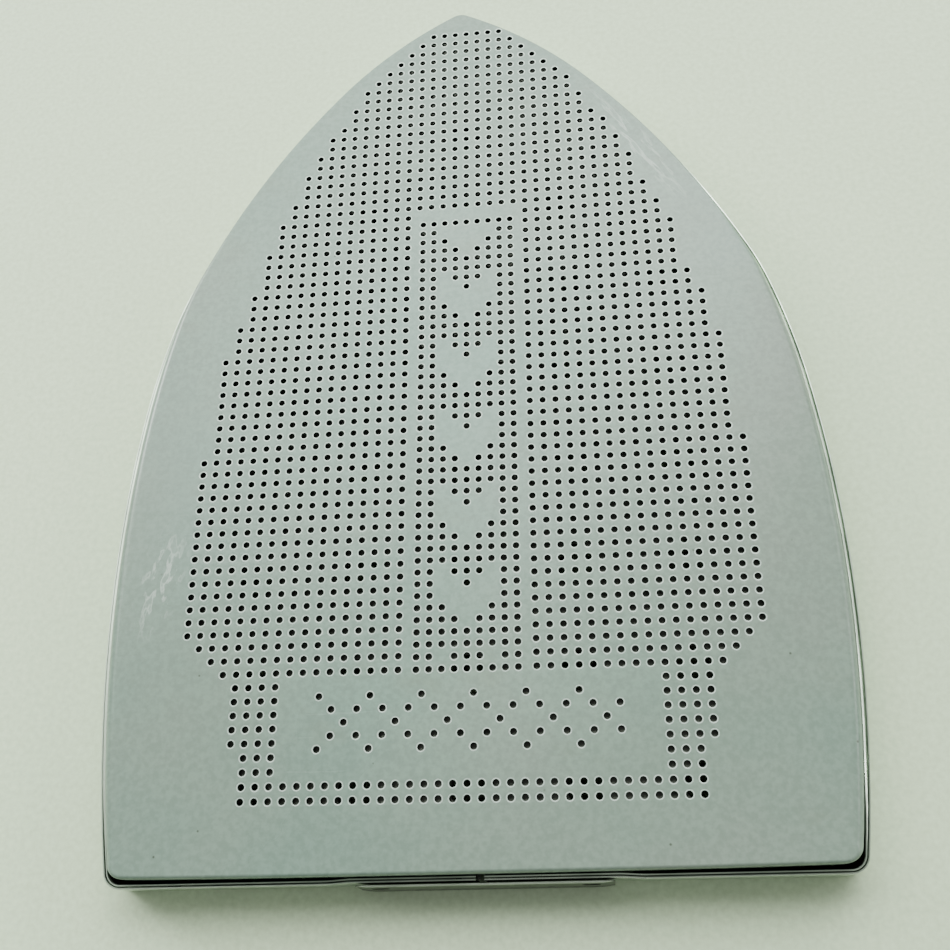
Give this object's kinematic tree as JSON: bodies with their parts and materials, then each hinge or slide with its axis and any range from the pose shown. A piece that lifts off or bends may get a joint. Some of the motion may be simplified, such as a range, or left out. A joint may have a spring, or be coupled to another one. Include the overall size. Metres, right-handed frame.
{
  "type": "perforated iron shoe",
  "caption": "Slip-on perforated non-stick sole cover for a pressing iron, with a folded metal rim, a toe pocket and a wire bail at the heel.",
  "frame": {"origin": "middle of the footprint, on the surface that the rim stands on with the working face up", "axes": "+Z out of the working face, +Y from the heel to the toe, +X to the right when seen from the working face with the toe up"},
  "size_m": [0.139, 0.1918, 0.0105],
  "materials": {
    "non_stick_sheet": "satin grey-green non-stick film",
    "plate_aluminium": "mill finish, steam stained",
    "rim_aluminium": "rolled strip",
    "bright_steel": "spring steel wire and stampings"
  },
  "bodies": {
    "shoe": {"sole_sheet": "non_stick_sheet", "heat_plate": "plate_aluminium", "inner_band": "rim_aluminium", "outer_band": "rim_aluminium", "heel_joiner": "rim_aluminium", "toe_hood": "bright_steel", "hood_rivet_left": "bright_steel", "hood_rivet_right": "bright_steel", "hinge_lug_left": "bright_steel", "hinge_lug_right": "bright_steel", "lug_rivet_left_front": "bright_steel", "lug_rivet_left_rear": "bright_steel", "lug_rivet_right_front": "bright_steel", "lug_rivet_right_rear": "bright_steel"},
    "bail": {"heel_bail": "bright_steel"}
  },
  "joints": [
    {"name": "heel_bail_swing", "type": "hinge", "parent": "shoe", "child": "bail", "pos_m": [0, -0.078, 0.0017], "axis": [-1, 0, 0], "range_deg": [0, 160]}
  ]
}
